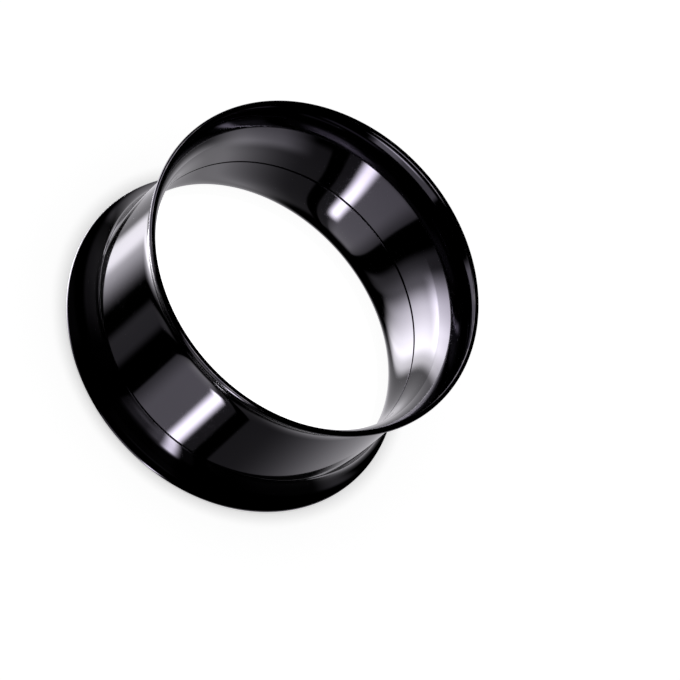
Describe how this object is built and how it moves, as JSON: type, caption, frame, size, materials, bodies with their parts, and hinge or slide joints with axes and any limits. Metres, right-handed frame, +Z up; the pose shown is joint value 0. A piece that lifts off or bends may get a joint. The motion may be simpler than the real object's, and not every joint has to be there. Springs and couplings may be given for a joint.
{
  "type": "ear tunnel",
  "caption": "Double-flared screw-fit ear tunnel of polished black steel: a flared barrel and a flared back with a threaded neck, open right through.",
  "frame": {"origin": "centre of the circle on which the back flare's lip rests", "axes": "+Z up along the bore, from the back flare to the front flare; the part is round, so X and Y are free"},
  "size_m": [0.0276, 0.0276, 0.0144],
  "materials": {
    "black_steel": "mirror-polished black plating",
    "bare_steel": "bright turned steel, on the thread of the neck"
  },
  "bodies": {
    "back": {"screw_back": "black_steel"},
    "front": {"front_barrel": "black_steel"}
  },
  "joints": [
    {"name": "unscrew", "type": "slide", "parent": "back", "child": "front", "axis": [0, 0, 1], "range_m": [0, 0.008]}
  ]
}
